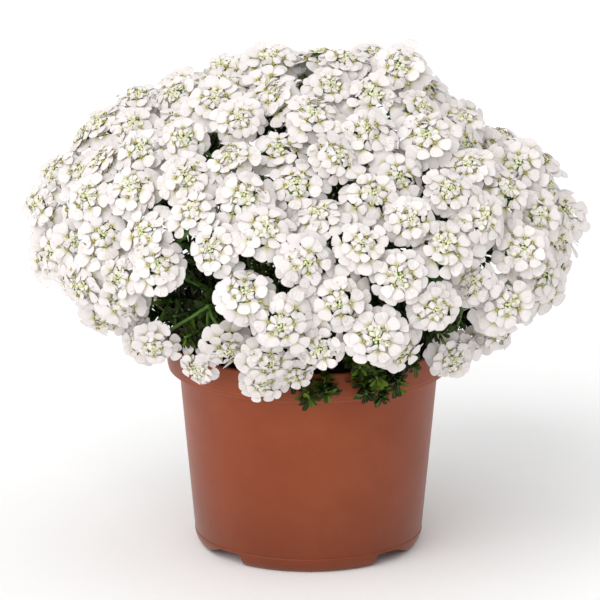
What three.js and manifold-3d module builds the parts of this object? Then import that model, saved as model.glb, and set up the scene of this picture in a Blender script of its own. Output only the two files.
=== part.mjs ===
// An evergreen candytuft in full flower, in a wide round plastic pot. Millimetres, +Z up.
// Woody arms rise from the soil, each carries a wedge of leafy stems, and every stem ends in a spray
// of flower heads. The heads cover a dome that is wider than the pot and hangs a little over its rim.

import * as THREE from 'three';
import { mergeVertices } from 'three/addons/utils/BufferGeometryUtils.js';
import Module from 'manifold-3d';

const wasm = await Module();
wasm.setup();

// The pot: a rim band, a tapered body, and a base skirt with four feet
const POT_HEIGHT = 142;
const RIM_RADIUS = 95;
const RIM_BAND = 19.5;
const RIM_TAPER = 1;
const BODY_TOP_RADIUS = 86.3;
const BODY_FOOT_RADIUS = 76.3;
const SKIRT_HEIGHT = 9.4;
const FOOT_RADIUS = 70.5;
const FOOT_WIDTH = 4.5;
const FOOT_FLARE = 4;
const FLOOR_UNDERSIDE = 6.5;
const WALL = 2;
const LIP = 3;
const POT_SIDES = 32;
const NOTCH_HEIGHT = 8.6;
const NOTCH_FROM_FRONT = 36;
const NOTCH_TOP_TO = 50;
const NOTCH_FOOT_TO = 72;
const NOTCH_REACH = 40;
const NOTCH_BACK = 22.5;
const DRAIN_RADIUS = 5;
const DRAIN_CIRCLE = 44;
const DRAINS = 4;
const DRAIN_SIDES = 6;
const DRAIN_REACH = 20;
const OVERCUT = 2;

// The soil, with one hole for the root crown
const SOIL_LEVEL = 126;
const SOIL_DISH = 2.5;
const SOIL_DISH_RADIUS = 55;
const SOIL_SLOPE = 4;
const GAP = 0.3;

// The woody crown and its arms
const ROOT_DEPTH = 40;
const TRUNK_RADIUS = 8;
const TRUNK_SIDES = 6;
const TRUNK_TAPER = 3;
const TRUNK_RISE = 4;
const ARM_RADIUS = 3.4;
const ARM_HEIGHT = 133;
const ARM_BEND = 0.6;
const HUB_DISTANCE = 40;
const HUB_HEIGHT = 141;
const HUB_RADIUS = 4;
const BRANCHES = 8;
const FIRST_BRANCH = -81.5;

// The dome that the flower heads cover: an elliptic crown over a skirt that curves in to the rim
const DOME_TOP = 325;
const DOME_WAIST = 205;
const DOME_RADIUS = 174;
const SHOULDER_SLOPE = 1.1;
const SKIRT_BEND_RADIUS = 164;
const SKIRT_BEND_HEIGHT = 172;
const SKIRT_END_RADIUS = 110;
const SKIRT_END_HEIGHT = 141;
const DOME_STEPS = 240;

// Where the dome swells or sinks: the place, how far it reaches, and how high it lifts the flowers
const SWELLS = [
  { at: [46, 0, 322], reach: 45, lift: 20 },
  { at: [-18, 10, 328], reach: 26, lift: 6 },
  { at: [-62, 5, 318], reach: 26, lift: -7 },
  { at: [-134, 0, 284], reach: 36, lift: 16 },
  { at: [-172, -10, 210], reach: 36, lift: 16 },
  { at: [172, 0, 200], reach: 48, lift: -6 },
  { at: [20, -165, 190], reach: 45, lift: 3 },
  { at: [102, 5, 300], reach: 40, lift: -18 },
  { at: [148, 0, 265], reach: 34, lift: 4 },
  { at: [125, 60, 265], reach: 45, lift: -10 },
  { at: [-60, 120, 270], reach: 45, lift: 6 },
  { at: [90, 140, 200], reach: 45, lift: 5 },
  { at: [-158, -20, 168], reach: 44, lift: -20 },
  { at: [155, -30, 155], reach: 42, lift: -9 },
];

// Windows in the flowers, where leaves show: the place and how far around it no head grows
const WINDOWS = [
  { at: [-80, -146, 178], reach: 36 },
  { at: [42, -116, 150], reach: 36 },
  { at: [100, -122, 166], reach: 29 },
  { at: [-95, 120, 165], reach: 26 },
  { at: [135, 75, 165], reach: 25 },
];

// Leafy shoots without flowers that fill the windows or lean over the rim: the place of each tip
const SHOOTS = [
  { angle: -90, radius: 105, height: 129 },
  { angle: -64, radius: 107, height: 127 },
  { angle: -74, radius: 118, height: 152 },
  { angle: -127, radius: 132, height: 170 },
  { angle: -48, radius: 128, height: 169 },
  { angle: -5, radius: 108, height: 152 },
  { angle: 26, radius: 128, height: 166 },
  { angle: 82, radius: 106, height: 146 },
  { angle: 140, radius: 122, height: 164 },
  { angle: 174, radius: 108, height: 152 },
];

// Sprays and heads are spread evenly over the dome by the golden angle
const GOLDEN_ANGLE = Math.PI * (3 - Math.sqrt(5));
const SPRAYS = 48;
const HEADS = 214;
const HEADS_TURN = 0.71;
const SPACING_PLAY = 0.6;
const SCATTER = 4;
const RIPPLE = 3;
const RECESS = 11;
const LEAST_RECESS = 0.6;
const RECESSED_SHARE = 0.32;
const FORK_DEPTH = 34;
const UPTURN = 0.42;
const FORETURN = 0.75;

// One flower head: an outer ring of petal lobes, a raised inner ring, and the buds in the middle
const HEAD_RADIUS = 22;
const SMALL_HEAD = 0.86;
const SMALL_BELOW = 165;
const LEAST_SIZE = 0.84;
const SIZE_RANGE = 0.22;
const LOBES = 6;
const NOTCH_DEPTH = 0.76;
const PETAL_DROOP = 4.6;
const NOTCH_DROOP = 5.8;
const CREST_RADIUS = 0.6;
const CREST_RISE = 2.8;
const BUDS_RADIUS = 0.24;
const BUDS_RISE = 5;
const CALYX_DEPTH = 8;
const STALK_RADIUS = 1.3;
const STALK_FOOT_RADIUS = 0.6;
const FORK_RADIUS = 3.2;

// Leafy stems and leaves
const STEM_RADIUS = 1.5;
const STEM_STEPS = 2;
const STEM_BOW = 0.12;
const LEAF_LENGTH = 21;
const LEAF_WIDTH = 5;
const LEAF_THICKNESS = 1.2;
const LEAF_WIDEST = 0.62;
const LEAVES_PER_STEM = 2;
const STEM_LEAVES_FROM = 0.45;
const LEAF_SPREAD = 0.9;
const LEAF_SPREAD_RANGE = 0.4;
const SHORTEST_LEAF = 0.8;
const LEAF_LENGTH_RANGE = 0.4;
const LEAF_TRIES = 4;
const LEAF_TRY_TURN = 0.4;
const LEAF_STATIONS = [0.45, 0.75, 1];
const LEAF_EDGE_ROOM = 1;
const STALK_ROOM = 3;
const HEAD_ROOM_BESIDE = 2;
const HEAD_ROOM_BELOW = 12;
const HEAD_ROOM_ABOVE = 8;
const LEAVES_PER_SHOOT = 7;
const SHOOT_LEAVES_FROM = 0.6;
const SHOOT_STEPS = 4;
const RIM_CROSSING_RADIUS = 88;
const RIM_CROSSING_HEIGHT = 160.6;
const LEAF_FREE_ABOVE = 145;
const LEAF_FREE_BEYOND = 99;

const UP = new THREE.Vector3(0, 0, 1);
const FORE = new THREE.Vector3(0, -1, 0);

function finish(color, roughness) {
  return new THREE.MeshStandardMaterial({ color, roughness, metalness: 0 });
}

const potFinish = finish(0xa6563f, 0.55);
const soilFinish = finish(0x3a2a20, 0.95);
const woodFinish = finish(0x6b5138, 0.85);
const leafFinish = finish(0x31561c, 0.5);
const petalFinish = finish(0xf4f0f1, 0.6);

// A repeatable draw between 0 and 1 for the item `index` and the purpose `channel`
function draw(index, channel) {
  const wave = Math.sin(index * 12.9898 + channel * 78.233) * 43758.5453;
  return wave - Math.floor(wave);
}

function polar(radius, angle, height) {
  return new THREE.Vector3(radius * Math.cos(angle), radius * Math.sin(angle), height);
}

// Turns a closed geometry into a solid, with its faces pointing out
function solidOf(geometry) {
  const bare = geometry.clone();
  bare.deleteAttribute('normal');
  bare.deleteAttribute('uv');
  const merged = mergeVertices(bare, 1e-4);
  const triVerts = Uint32Array.from(merged.index.array);
  const vertProperties = Float32Array.from(merged.attributes.position.array);
  const solid = new wasm.Manifold(new wasm.Mesh({ numProp: 3, vertProperties, triVerts }));
  if (solid.volume() > 0) return solid;
  for (let i = 0; i < triVerts.length; i += 3) {
    [triVerts[i], triVerts[i + 1]] = [triVerts[i + 1], triVerts[i]];
  }
  return new wasm.Manifold(new wasm.Mesh({ numProp: 3, vertProperties, triVerts }));
}

function geometryOf(solid) {
  const { vertProperties, triVerts } = solid.getMesh();
  const geometry = new THREE.BufferGeometry();
  geometry.setAttribute('position', new THREE.BufferAttribute(Float32Array.from(vertProperties), 3));
  geometry.setIndex(new THREE.BufferAttribute(Uint32Array.from(triVerts), 1));
  geometry.computeVertexNormals();
  return geometry;
}

// Joins solids into one body; a sealed pocket is filled and a loose scrap is dropped
function fuse(solids) {
  const joined = solids.reduce((whole, next) => whole.add(next));
  const bodies = joined.decompose();
  return bodies.reduce((best, body) => (body.volume() > best.volume() ? body : best));
}

function piece(name, solid, material) {
  const mesh = new THREE.Mesh(geometryOf(solid), material);
  mesh.name = name;
  return mesh;
}

// Skins a row of rings, each counter-clockwise about the way they go, into one closed geometry.
// Rings may differ in their number of points; the first and last have one or three.
function skin(rings) {
  const points = rings.flat();
  const index = [];
  let start = 0;
  for (let k = 0; k + 1 < rings.length; k += 1) {
    const low = rings[k].length;
    const high = rings[k + 1].length;
    const next = start + low;
    let i = 0;
    let j = 0;
    while (i < low || j < high) {
      const a = start + (i % low);
      const b = next + (j % high);
      const lowFirst = (i + 1) / low <= (j + 1) / high;
      if (j >= high || (i < low && lowFirst)) {
        if (low > 1) index.push(a, start + ((i + 1) % low), b);
        i += 1;
      } else {
        if (high > 1) index.push(a, next + ((j + 1) % high), b);
        j += 1;
      }
    }
    start = next;
  }
  if (rings[0].length === 3) index.push(0, 2, 1);
  if (rings.at(-1).length === 3) index.push(start, start + 1, start + 2);
  const geometry = new THREE.BufferGeometry();
  geometry.setAttribute('position', new THREE.Float32BufferAttribute(points.flatMap((p) => p.toArray()), 3));
  geometry.setIndex(index);
  return geometry;
}

// Two directions square to `axis`, turned about it by `twist`
function crossAxes(axis, twist = 0) {
  const helper = Math.abs(axis.z) < 0.95 ? UP : new THREE.Vector3(1, 0, 0);
  const side = new THREE.Vector3().crossVectors(helper, axis).normalize();
  const other = new THREE.Vector3().crossVectors(axis, side);
  const u = side.clone().multiplyScalar(Math.cos(twist)).addScaledVector(other, Math.sin(twist));
  const v = new THREE.Vector3().crossVectors(axis, u);
  return [u, v];
}

function around(centre, u, v, radius, angle) {
  return centre.clone()
    .addScaledVector(u, radius * Math.cos(angle))
    .addScaledVector(v, radius * Math.sin(angle));
}

// A slim rod with flat ends, along a curve through the given points
function rod(points, radius, sides, steps) {
  const section = new THREE.Shape();
  for (let k = 0; k < sides; k += 1) {
    const angle = (k * 2 * Math.PI) / sides;
    const corner = [radius * Math.cos(angle), radius * Math.sin(angle)];
    if (k === 0) section.moveTo(...corner);
    else section.lineTo(...corner);
  }
  section.closePath();
  const extrudePath = new THREE.CatmullRomCurve3(points);
  return solidOf(new THREE.ExtrudeGeometry(section, { steps, extrudePath, bevelEnabled: false }));
}

// An eight-sided knob that turns one flat side against the way `along` that a stem arrives
function knob(centre, radius, along) {
  const shape = new THREE.OctahedronGeometry(radius);
  const flatSide = new THREE.Vector3(-1, -1, -1).normalize();
  shape.applyQuaternion(new THREE.Quaternion().setFromUnitVectors(flatSide, along.clone().negate()));
  shape.translate(centre.x, centre.y, centre.z);
  return solidOf(shape);
}

// Where a stem that arrives from `from` ends, just short of the flat side of the knob at `centre`
function seatOn(centre, radius, from) {
  const along = centre.clone().sub(from).normalize();
  const end = centre.clone().addScaledVector(along, -radius / Math.sqrt(3) - GAP);
  return { along, end };
}

function lathe(profile) {
  const outline = profile.map(([radius, height]) => new THREE.Vector2(radius, height));
  const shape = new THREE.LatheGeometry(outline, POT_SIDES);
  shape.rotateX(Math.PI / 2);
  return solidOf(shape);
}

// One gap between two feet, cut straight through the skirt at the angle `middle` from +X
function footNotch(turn, side) {
  const degrees = Math.PI / 180;
  const middle = ((NOTCH_FROM_FRONT + NOTCH_TOP_TO) / 2) * degrees;
  const reach = (angle) => FOOT_RADIUS * Math.sin(angle * degrees - middle);
  const outline = new THREE.Shape([
    new THREE.Vector2(reach(NOTCH_FROM_FRONT), -OVERCUT),
    new THREE.Vector2(reach(NOTCH_FOOT_TO), -OVERCUT),
    new THREE.Vector2(reach(NOTCH_FOOT_TO), 0),
    new THREE.Vector2(reach(NOTCH_TOP_TO), NOTCH_HEIGHT),
    new THREE.Vector2(reach(NOTCH_FROM_FRONT), NOTCH_HEIGHT),
  ]);
  const cutter = new THREE.ExtrudeGeometry(outline, { depth: NOTCH_REACH, bevelEnabled: false });
  cutter.rotateX(Math.PI / 2);
  cutter.translate(0, NOTCH_BACK - FOOT_RADIUS, 0);
  cutter.rotateZ(middle);
  if (side < 0) cutter.scale(-1, 1, 1);
  cutter.rotateZ(turn);
  return solidOf(cutter);
}

function drain(angle) {
  const hole = new THREE.CylinderGeometry(DRAIN_RADIUS, DRAIN_RADIUS, DRAIN_REACH, DRAIN_SIDES);
  hole.rotateX(Math.PI / 2);
  const place = polar(DRAIN_CIRCLE, angle, FLOOR_UNDERSIDE);
  hole.translate(place.x, place.y, place.z);
  return solidOf(hole);
}

function innerRadius(height) {
  const share = (height - SKIRT_HEIGHT) / (POT_HEIGHT - RIM_BAND - SKIRT_HEIGHT);
  return BODY_FOOT_RADIUS - WALL + (BODY_TOP_RADIUS - BODY_FOOT_RADIUS) * share;
}

function pot() {
  const bandFoot = POT_HEIGHT - RIM_BAND;
  let body = lathe([
    [0, FLOOR_UNDERSIDE],
    [FOOT_RADIUS - FOOT_WIDTH - FOOT_FLARE, FLOOR_UNDERSIDE],
    [FOOT_RADIUS - FOOT_WIDTH, 0],
    [FOOT_RADIUS, 0],
    [BODY_FOOT_RADIUS, SKIRT_HEIGHT],
    [BODY_TOP_RADIUS, bandFoot],
    [RIM_RADIUS - RIM_TAPER, bandFoot],
    [RIM_RADIUS, POT_HEIGHT],
    [RIM_RADIUS - LIP, POT_HEIGHT],
    [innerRadius(bandFoot), bandFoot],
    [innerRadius(SKIRT_HEIGHT), SKIRT_HEIGHT],
    [0, SKIRT_HEIGHT],
  ]);
  for (const turn of [0, Math.PI]) {
    body = body.subtract(footNotch(turn, 1)).subtract(footNotch(turn, -1));
  }
  for (let k = 0; k < DRAINS; k += 1) {
    body = body.subtract(drain(((k + 0.5) * 2 * Math.PI) / DRAINS));
  }
  return piece('pot', body, potFinish);
}

// Heights and widths of the trunk, shared by the hole that it stands in
function trunk(margin) {
  const height = ROOT_DEPTH + margin;
  const width = TRUNK_RADIUS + margin;
  const shape = new THREE.CylinderGeometry(width, width - TRUNK_TAPER, height, TRUNK_SIDES);
  shape.rotateX(Math.PI / 2);
  shape.translate(0, 0, SOIL_LEVEL + TRUNK_RISE - height / 2);
  return solidOf(shape);
}

function soil() {
  const floor = SKIRT_HEIGHT + GAP;
  const body = lathe([
    [0, floor],
    [innerRadius(floor) - 2 * GAP, floor],
    [innerRadius(SOIL_LEVEL - SOIL_SLOPE) - 2 * GAP, SOIL_LEVEL - SOIL_SLOPE],
    [SOIL_DISH_RADIUS, SOIL_LEVEL],
    [0, SOIL_LEVEL - SOIL_DISH],
  ]);
  return piece('soil', body.subtract(trunk(GAP)), soilFinish);
}

function branchAngle(branch) {
  return (FIRST_BRANCH * Math.PI) / 180 + (branch * 2 * Math.PI) / BRANCHES;
}

function hub(branch) {
  return polar(HUB_DISTANCE, branchAngle(branch), HUB_HEIGHT);
}

function armBend(branch) {
  return polar(HUB_DISTANCE * ARM_BEND, branchAngle(branch), ARM_HEIGHT);
}

function woodyCrown() {
  const arms = [];
  for (let branch = 0; branch < BRANCHES; branch += 1) {
    const start = polar(1, branchAngle(branch), SOIL_LEVEL + 1);
    const { end } = seatOn(hub(branch), HUB_RADIUS, armBend(branch));
    arms.push(rod([start, armBend(branch), end], ARM_RADIUS, 3, 2));
  }
  return piece('woody_crown', fuse([trunk(0), ...arms]), woodFinish);
}

// The dome's outline: `t` runs from 0 at the top, past 1 at the waist, to 2 at the lower edge
function domeOutline(t) {
  if (t <= 1) {
    const angle = (t * Math.PI) / 2;
    const radius = DOME_RADIUS * Math.sin(angle) ** SHOULDER_SLOPE;
    return [radius, DOME_WAIST + (DOME_TOP - DOME_WAIST) * Math.cos(angle)];
  }
  const s = t - 1;
  const mix = (a, b, c) => a * (1 - s) ** 2 + 2 * b * s * (1 - s) + c * s ** 2;
  return [
    mix(DOME_RADIUS, SKIRT_BEND_RADIUS, SKIRT_END_RADIUS),
    mix(DOME_WAIST, SKIRT_BEND_HEIGHT, SKIRT_END_HEIGHT),
  ];
}

// Area of the dome from the top down to each step of `t`
function domeAreas() {
  const areas = [0];
  for (let k = 1; k <= DOME_STEPS; k += 1) {
    const [r0, z0] = domeOutline((2 * (k - 1)) / DOME_STEPS);
    const [r1, z1] = domeOutline((2 * k) / DOME_STEPS);
    areas.push(areas[k - 1] + Math.PI * (r0 + r1) * Math.hypot(r1 - r0, z1 - z0));
  }
  return areas;
}

const AREAS = domeAreas();

function outlineAtShare(share) {
  const wanted = Math.min(Math.max(share, 0), 1) * AREAS[DOME_STEPS];
  let k = 1;
  while (AREAS[k] < wanted && k < DOME_STEPS) k += 1;
  const part = (wanted - AREAS[k - 1]) / (AREAS[k] - AREAS[k - 1]);
  return (2 * (k - 1 + part)) / DOME_STEPS;
}

// A point on the dome with its outward direction
function onDome(share, angle) {
  const t = outlineAtShare(share);
  const [radius, height] = domeOutline(t);
  const [r0, z0] = domeOutline(Math.max(t - 0.01, 0));
  const [r1, z1] = domeOutline(Math.min(t + 0.01, 2));
  const outward = polar(z0 - z1, angle, r1 - r0).normalize();
  const place = polar(radius, angle, height);
  let lift = 0;
  for (const swell of SWELLS) {
    const away = place.distanceTo(new THREE.Vector3(...swell.at)) / swell.reach;
    lift += swell.lift * Math.exp(-away * away);
  }
  return { place: place.addScaledVector(outward, lift), outward };
}

function sprayCentres() {
  const centres = [];
  for (let k = 0; k < SPRAYS; k += 1) {
    const centre = onDome((k + 0.5) / SPRAYS, k * GOLDEN_ANGLE);
    centre.fork = centre.place.clone().addScaledVector(centre.outward, -FORK_DEPTH);
    centre.heads = [];
    centres.push(centre);
  }
  return centres;
}

function flowerHeads() {
  const heads = [];
  for (let k = 0; k < HEADS; k += 1) {
    const share = (k + 0.5 + (draw(k, 1) - 0.5) * SPACING_PLAY) / HEADS;
    const spot = onDome(share, k * GOLDEN_ANGLE + HEADS_TURN);
    const [u, v] = crossAxes(spot.outward);
    const place = around(spot.place, u, v, SCATTER * draw(k, 2), draw(k, 3) * 2 * Math.PI);
    const recessed = draw(k, 4) < RECESSED_SHARE;
    const sunk = -RECESS * (LEAST_RECESS + (1 - LEAST_RECESS) * draw(k, 5));
    place.addScaledVector(spot.outward, recessed ? sunk : RIPPLE * (draw(k, 5) - 0.5));
    const turned = spot.outward.clone().addScaledVector(UP, UPTURN).addScaledVector(FORE, FORETURN);
    const facing = turned.normalize();
    const low = place.z < SMALL_BELOW;
    const radius = HEAD_RADIUS * (low ? SMALL_HEAD : 1) * (LEAST_SIZE + SIZE_RANGE * draw(k, 6));
    const open = WINDOWS.some(({ at, reach }) => place.distanceTo(new THREE.Vector3(...at)) < reach);
    if (!open) heads.push({ place, facing, radius, twist: draw(k, 7) * 2 * Math.PI });
  }
  return heads;
}

// Moves a point of a head towards the head's centre until it is clear of every neighbour
function keptClear(point, head, heads) {
  const arm = point.clone().sub(head.place);
  let scale = 1;
  for (const other of heads) {
    if (other === head) continue;
    const way = other.place.clone().sub(head.place);
    const half = way.length() / 2 - GAP;
    const reach = arm.dot(way.normalize());
    if (reach > half) scale = Math.min(scale, half / reach);
  }
  return head.place.clone().addScaledVector(arm, scale);
}

function headSolid(head, fork, heads) {
  const [u, v] = crossAxes(head.facing, head.twist);
  const size = head.radius / HEAD_RADIUS;
  const raised = (rise) => head.place.clone().addScaledVector(head.facing, rise * size);
  const ring = (count, radius, rise, turn = 0) => Array.from({ length: count }, (_, k) => {
    const angle = ((k + turn) * 2 * Math.PI) / count;
    return around(raised(rise), u, v, radius, angle);
  });
  const foot = ring(3, STALK_FOOT_RADIUS, 0).map((p) => p.sub(head.place).add(fork));
  const neck = ring(3, STALK_RADIUS, -CALYX_DEPTH);
  const edge = ring(2 * LOBES, head.radius, 0).map((point, k) => {
    const petal = k % 2 === 0;
    const arm = point.sub(head.place).multiplyScalar(petal ? 1 : NOTCH_DEPTH);
    const droop = petal ? -PETAL_DROOP : -NOTCH_DROOP;
    return keptClear(arm.add(raised(droop)), head, heads);
  });
  const crest = ring(LOBES, head.radius * CREST_RADIUS, CREST_RISE);
  const buds = ring(3, head.radius * BUDS_RADIUS, BUDS_RISE);
  return solidOf(skin([foot, neck, edge, crest, buds]));
}

function spraySolid(spray, heads) {
  const solids = spray.heads.map((head) => headSolid(head, spray.fork, heads));
  return fuse([knob(spray.fork, FORK_RADIUS, spray.stemWay), ...solids]);
}

function nearest(point, centres) {
  return centres.reduce((best, centre) => {
    return point.distanceTo(centre.place) < point.distanceTo(best.place) ? centre : best;
  });
}

// True if a point lies inside the wedge of a branch, with room to spare
function inWedge(point, branch, room) {
  const angle = branchAngle(branch);
  const half = Math.PI / BRANCHES;
  return [angle - half, angle + half].every((edge, k) => {
    const side = (k === 0 ? 1 : -1) * (point.y * Math.cos(edge) - point.x * Math.sin(edge));
    return side > room;
  });
}

function branchOf(point) {
  const wedge = (2 * Math.PI) / BRANCHES;
  const turn = Math.atan2(point.y, point.x) - branchAngle(0) + wedge / 2 + 4 * Math.PI;
  return Math.floor((turn % (2 * Math.PI)) / wedge);
}

function clearOfPot(point) {
  return point.z > LEAF_FREE_ABOVE || Math.hypot(point.x, point.y) > LEAF_FREE_BEYOND;
}

// Shortest distance from a point to the straight line between two others
function lineGap(point, a, b) {
  const nearestPoint = new THREE.Line3(a, b).closestPointToPoint(point, true, new THREE.Vector3());
  return point.distanceTo(nearestPoint);
}

// True if a point is clear of every flower head and its stalk
function clearOfFlowers(point, sprays) {
  return sprays.every((spray) => point.distanceTo(spray.fork) > FORK_RADIUS + STALK_ROOM
    && spray.heads.every((head) => {
      const arm = point.clone().sub(head.place);
      const rise = arm.dot(head.facing);
      const beside = Math.sqrt(Math.max(arm.lengthSq() - rise * rise, 0));
      const level = rise > -HEAD_ROOM_BELOW && rise < HEAD_ROOM_ABOVE;
      const atHead = level && beside < head.radius + HEAD_ROOM_BESIDE;
      return !atHead && lineGap(point, head.place, spray.fork) > STALK_RADIUS + STALK_ROOM;
    }));
}

// A narrow evergreen leaf, widest towards its tip, with a raised midrib
function leaf(root, tip, face) {
  const along = tip.clone().sub(root);
  const middle = root.clone().addScaledVector(along, LEAF_WIDEST);
  const across = new THREE.Vector3().crossVectors(along, face).normalize();
  const lift = new THREE.Vector3().crossVectors(across, along).normalize();
  const section = [
    middle.clone().addScaledVector(across, LEAF_WIDTH / 2),
    middle.clone().addScaledVector(lift, LEAF_THICKNESS),
    middle.clone().addScaledVector(across, -LEAF_WIDTH / 2),
  ];
  return solidOf(skin([[root], section, [tip]]));
}

// Leaves set in a spiral along a stem, left out where a flower or the wedge's edge is too close
function leavesAlong(curve, count, from, seed, branch, sprays) {
  const leaves = [];
  for (let k = 0; k < count; k += 1) {
    const t = from + ((1 - from) * (k + 0.5)) / count;
    const root = curve.getPointAt(t);
    const along = curve.getTangentAt(t);
    for (let attempt = 0; attempt < LEAF_TRIES; attempt += 1) {
      const [side] = crossAxes(along, (k + attempt * LEAF_TRY_TURN) * GOLDEN_ANGLE + seed);
      const spread = LEAF_SPREAD + LEAF_SPREAD_RANGE * draw(k, seed);
      const way = along.clone().addScaledVector(side, spread).normalize();
      const size = SHORTEST_LEAF + LEAF_LENGTH_RANGE * draw(k + attempt, seed + 1);
      const tip = root.clone().addScaledVector(way, LEAF_LENGTH * size);
      const checks = LEAF_STATIONS.map((s) => root.clone().lerp(tip, s));
      const free = checks.every((p) => {
        const inside = inWedge(p, branch, LEAF_WIDTH / 2 + LEAF_EDGE_ROOM);
        return inside && clearOfFlowers(p, sprays) && clearOfPot(p);
      });
      if (free) {
        leaves.push(leaf(root, tip, along));
        break;
      }
    }
  }
  return leaves;
}

function leafyStem(branch, sprays) {
  const start = hub(branch);
  const solids = [knob(start, HUB_RADIUS, seatOn(start, HUB_RADIUS, armBend(branch)).along)];
  const grow = (points, steps, leaves, from, seed) => {
    solids.push(rod(points, STEM_RADIUS, 3, steps));
    solids.push(...leavesAlong(new THREE.CatmullRomCurve3(points), leaves, from, seed, branch, sprays));
  };
  sprays.forEach((spray, k) => {
    if (branchOf(spray.fork) !== branch) return;
    const middle = start.clone().lerp(spray.fork, 0.5);
    middle.addScaledVector(UP, STEM_BOW * start.distanceTo(spray.fork));
    const path = [start, middle, seatOn(spray.fork, FORK_RADIUS, middle).end];
    spray.stemWay = seatOn(spray.fork, FORK_RADIUS, path[1]).along;
    grow(path, STEM_STEPS, LEAVES_PER_STEM, STEM_LEAVES_FROM, k);
  });
  SHOOTS.forEach((shoot, k) => {
    const angle = (shoot.angle * Math.PI) / 180;
    const end = polar(shoot.radius, angle, shoot.height);
    if (branchOf(end) !== branch) return;
    const crossing = polar(RIM_CROSSING_RADIUS, angle, RIM_CROSSING_HEIGHT);
    grow([start, crossing, end], SHOOT_STEPS, LEAVES_PER_SHOOT, SHOOT_LEAVES_FROM, SPRAYS + k);
  });
  return fuse(solids);
}

const two = (number) => String(number).padStart(2, '0');

function candytuft() {
  const plant = new THREE.Group();
  plant.add(pot(), soil(), woodyCrown());
  const heads = flowerHeads();
  const sprays = sprayCentres();
  for (const head of heads) nearest(head.place, sprays).heads.push(head);
  for (let branch = 0; branch < BRANCHES; branch += 1) {
    plant.add(piece(`leafy_stems_${two(branch + 1)}`, leafyStem(branch, sprays), leafFinish));
  }
  sprays.forEach((spray, k) => {
    plant.add(piece(`flower_spray_${two(k + 1)}`, spraySolid(spray, heads), petalFinish));
  });
  return plant;
}

const plant = candytuft();
const box = new THREE.Box3().setFromObject(plant);
const centre = box.getCenter(new THREE.Vector3());
plant.position.set(-centre.x, -centre.y, 0);

export default plant;
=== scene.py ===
import math
import random

import bmesh
import bpy
from mathutils import Matrix, Vector, noise


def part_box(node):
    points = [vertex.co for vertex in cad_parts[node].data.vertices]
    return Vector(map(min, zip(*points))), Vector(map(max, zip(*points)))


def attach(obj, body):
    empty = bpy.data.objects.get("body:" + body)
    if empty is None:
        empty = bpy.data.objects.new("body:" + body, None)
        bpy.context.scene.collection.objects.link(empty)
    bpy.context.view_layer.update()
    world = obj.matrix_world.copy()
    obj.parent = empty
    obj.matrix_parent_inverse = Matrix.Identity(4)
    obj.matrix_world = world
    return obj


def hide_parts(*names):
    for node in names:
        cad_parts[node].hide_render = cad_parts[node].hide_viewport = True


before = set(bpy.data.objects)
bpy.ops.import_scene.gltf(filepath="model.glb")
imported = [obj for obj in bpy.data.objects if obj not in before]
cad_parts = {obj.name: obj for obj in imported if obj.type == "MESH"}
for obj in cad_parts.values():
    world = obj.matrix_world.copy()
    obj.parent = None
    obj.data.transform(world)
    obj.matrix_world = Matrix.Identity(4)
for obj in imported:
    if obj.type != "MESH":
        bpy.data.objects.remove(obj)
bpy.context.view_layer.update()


# The camera stands far off and a little above the plant, level with its front, and looks a touch
# above the rim of the pot, so that dome and pot fill the square picture.
pot_low, pot_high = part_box("pot")
pot_axis = Vector(((pot_low.x + pot_high.x) / 2, (pot_low.y + pot_high.y) / 2, 0))
CAMERA_RISE = math.radians(15)
CAMERA_DISTANCE = 2.77
CAMERA_AIM = Vector((-0.0057, 0, 0.1665))
CAMERA_LENS = 250

camera_data = bpy.data.cameras.new("camera")
camera_data.lens = CAMERA_LENS
camera_data.sensor_width = 36
camera_data.clip_end = 50
camera = bpy.data.objects.new("camera", camera_data)
bpy.context.scene.collection.objects.link(camera)
away = Vector((0, -math.cos(CAMERA_RISE), math.sin(CAMERA_RISE)))
camera.location = pot_axis + CAMERA_AIM + CAMERA_DISTANCE * away
camera.rotation_euler = (-away).to_track_quat("-Z", "Y").to_euler()
bpy.context.scene.camera = camera


# The pot is moulded in one piece from matte terracotta-coloured plastic, thin in the wall, with a
# deep band round the rim. Its base skirt is cut away in four places and so stands on wide feet.
MM = 0.001
POT_STEPS = 144
POT_PROFILE = [
    (0, 6.5), (60, 6.5), (62.4, 6.1), (64.8, 1.2), (65.6, 0.3), (66.6, 0),
    (69.8, 0), (71.2, 0.3), (73.2, 1.9), (75, 4.6), (76.1, 7.6), (76.5, 9.6), (76.3, 10.1),
    (76, 10.4), (76.4, 11.2), (81.4, 66), (86.2, 120.4), (86.5, 121.5), (87.3, 122.1),
    (92.8, 122.3), (93.4, 122.6), (93.6, 123.2), (93.7, 125.1), (94.1, 125.5), (94.2, 126.2),
    (95, 139.9), (94.9, 141.1), (94.3, 141.8), (93.4, 142), (92.6, 141.8), (92, 141),
    (84.3, 122.5), (74.3, 10.8), (73, 9.4), (0, 9.4),
]
FOOT_RADIUS = 70.5
NOTCH_FROM, NOTCH_TOP_TO, NOTCH_FOOT_TO = math.radians(36), math.radians(50), math.radians(72)
NOTCH_HEIGHT = 8.6
NOTCH_DEPTHS = (-88, -48)
DRAIN_CIRCLE, DRAIN_RADIUS, DRAINS = 44, 5, 4
DRAIN_HEIGHT, DRAIN_DEPTH, DRAIN_SIDES = 6.5, 20, 24
CUT_BELOW = 2
POT_CREASE = 32


def srgb(red, green, blue):
    """A screen colour, 0 to 255, as the linear colour that a shader takes"""
    def linear(value):
        value /= 255
        return value / 12.92 if value <= 0.04045 else ((value + 0.055) / 1.055) ** 2.4
    return (linear(red), linear(green), linear(blue), 1)


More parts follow.
